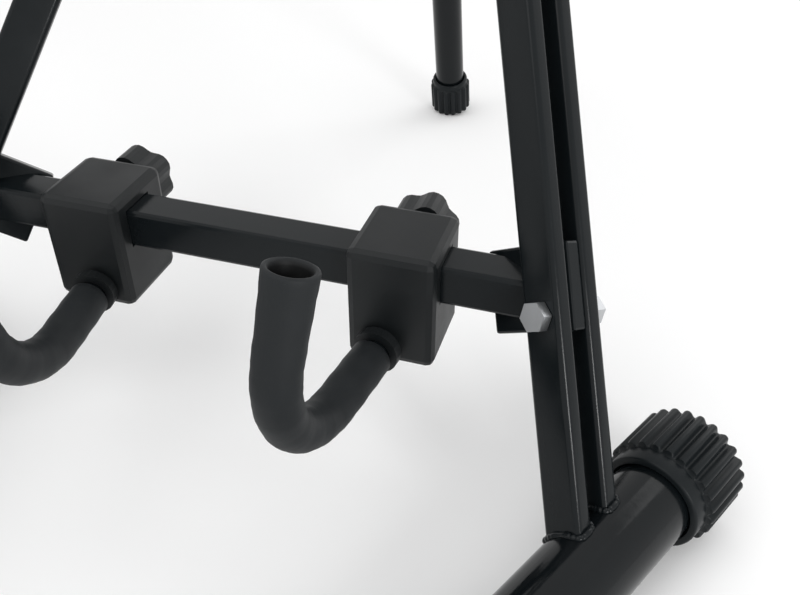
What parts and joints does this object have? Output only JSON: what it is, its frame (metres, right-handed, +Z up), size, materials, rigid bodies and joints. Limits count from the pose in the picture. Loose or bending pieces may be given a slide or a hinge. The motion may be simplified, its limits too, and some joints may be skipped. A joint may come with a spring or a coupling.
{
  "type": "guitar stand",
  "caption": "Floor stand for a guitar: round floor tubes with ribbed end caps, twin-bar posts, padded J arms, a folding rear leg and a height-adjustable neck yoke.",
  "frame": {"origin": "on the floor, under the middle of the stand's bounding box", "axes": "+X to the stand's right seen from the front-side camera, +Y to the back, +Z up"},
  "size_m": [0.4016, 0.5991, 0.6714],
  "materials": {
    "gloss_tube": "gloss black powder coat",
    "satin_bar": "semi-gloss black paint",
    "casting": "fine-textured black paint",
    "sleeve_rubber": "matte charcoal rubber",
    "cap_rubber": "moulded black rubber, satin",
    "black_plastic": "moulded black nylon",
    "zinc_steel": "bright zinc plate"
  },
  "bodies": {
    "frame": {"left_floor_tube": "gloss_tube", "right_floor_tube": "gloss_tube", "left_post_front": "satin_bar", "left_post_rear": "satin_bar", "right_post_front": "satin_bar", "right_post_rear": "satin_bar", "crossbar": "satin_bar", "left_lug": "satin_bar", "right_lug": "satin_bar", "hub": "casting", "left_cap_front": "cap_rubber", "left_cap_rear": "cap_rubber", "right_cap_front": "cap_rubber", "right_cap_rear": "cap_rubber", "left_hub_bolt": "zinc_steel", "right_hub_bolt": "zinc_steel", "left_hub_nut": "zinc_steel", "right_hub_nut": "zinc_steel", "left_lug_bolt": "zinc_steel", "right_lug_bolt": "zinc_steel", "left_lug_nut": "zinc_steel", "right_lug_nut": "zinc_steel", "hinge_pin": "zinc_steel", "hinge_nut": "zinc_steel"},
    "rear_leg": {"rear_leg": "gloss_tube", "rear_leg_lug": "casting", "rear_foot": "cap_rubber"},
    "stem": {"stem": "gloss_tube"},
    "yoke": {"yoke_head": "black_plastic", "yoke_rod": "zinc_steel", "yoke_sleeve_left": "sleeve_rubber", "yoke_sleeve_right": "sleeve_rubber"},
    "stem_knob": {"stem_knob": "black_plastic", "stem_stud": "zinc_steel"},
    "left_carriage": {"left_carriage": "black_plastic"},
    "left_arm": {"left_arm_rod": "gloss_tube", "left_arm_sleeve": "sleeve_rubber", "left_arm_collar": "black_plastic", "left_arm_end_clip": "black_plastic"},
    "left_carriage_knob": {"left_carriage_knob": "black_plastic", "left_carriage_stud": "zinc_steel"},
    "right_carriage": {"right_carriage": "black_plastic"},
    "right_arm": {"right_arm_rod": "gloss_tube", "right_arm_sleeve": "sleeve_rubber", "right_arm_collar": "black_plastic", "right_arm_end_clip": "black_plastic"},
    "right_carriage_knob": {"right_carriage_knob": "black_plastic", "right_carriage_stud": "zinc_steel"}
  },
  "joints": [
    {"name": "rear_leg_fold", "type": "hinge", "parent": "frame", "child": "rear_leg", "pos_m": [0, 0.1867, 0.3759], "axis": [1, 0, 0], "range_deg": [-40, 0]},
    {"name": "stem_height", "type": "slide", "parent": "frame", "child": "stem", "axis": [0, 0.29, 0.957], "range_m": [-0.06, 0.03]},
    {"name": "yoke_swivel", "type": "hinge", "parent": "stem", "child": "yoke", "pos_m": [0, 0.1547, 0.3909], "axis": [0, 0.29, 0.957], "range_deg": [-60, 60]},
    {"name": "stem_knob_turn", "type": "hinge", "parent": "frame", "child": "stem_knob", "pos_m": [0, 0.16253, 0.41674], "axis": [0, 0.957, -0.29], "range_deg": [-360, 0]},
    {"name": "left_carriage_slide", "type": "slide", "parent": "frame", "child": "left_carriage", "axis": [-1, 0, 0], "range_m": [-0.026, 0.012]},
    {"name": "left_arm_swing", "type": "hinge", "parent": "left_carriage", "child": "left_arm", "pos_m": [-0.0636, -0.0365, 0.0652], "axis": [-0.1416, 0.9899, 0], "range_deg": [-90, 40]},
    {"name": "left_knob_turn", "type": "hinge", "parent": "left_carriage", "child": "left_carriage_knob", "pos_m": [-0.0636, -0.0165, 0.09], "axis": [0, 1, 0], "range_deg": [-360, 0]},
    {"name": "right_carriage_slide", "type": "slide", "parent": "frame", "child": "right_carriage", "axis": [1, 0, 0], "range_m": [-0.026, 0.012]},
    {"name": "right_arm_swing", "type": "hinge", "parent": "right_carriage", "child": "right_arm", "pos_m": [0.0636, -0.0365, 0.0652], "axis": [0.1416, 0.9899, 0], "range_deg": [-40, 90]},
    {"name": "right_knob_turn", "type": "hinge", "parent": "right_carriage", "child": "right_carriage_knob", "pos_m": [0.0636, -0.0165, 0.09], "axis": [0, 1, 0], "range_deg": [-360, 0]}
  ]
}
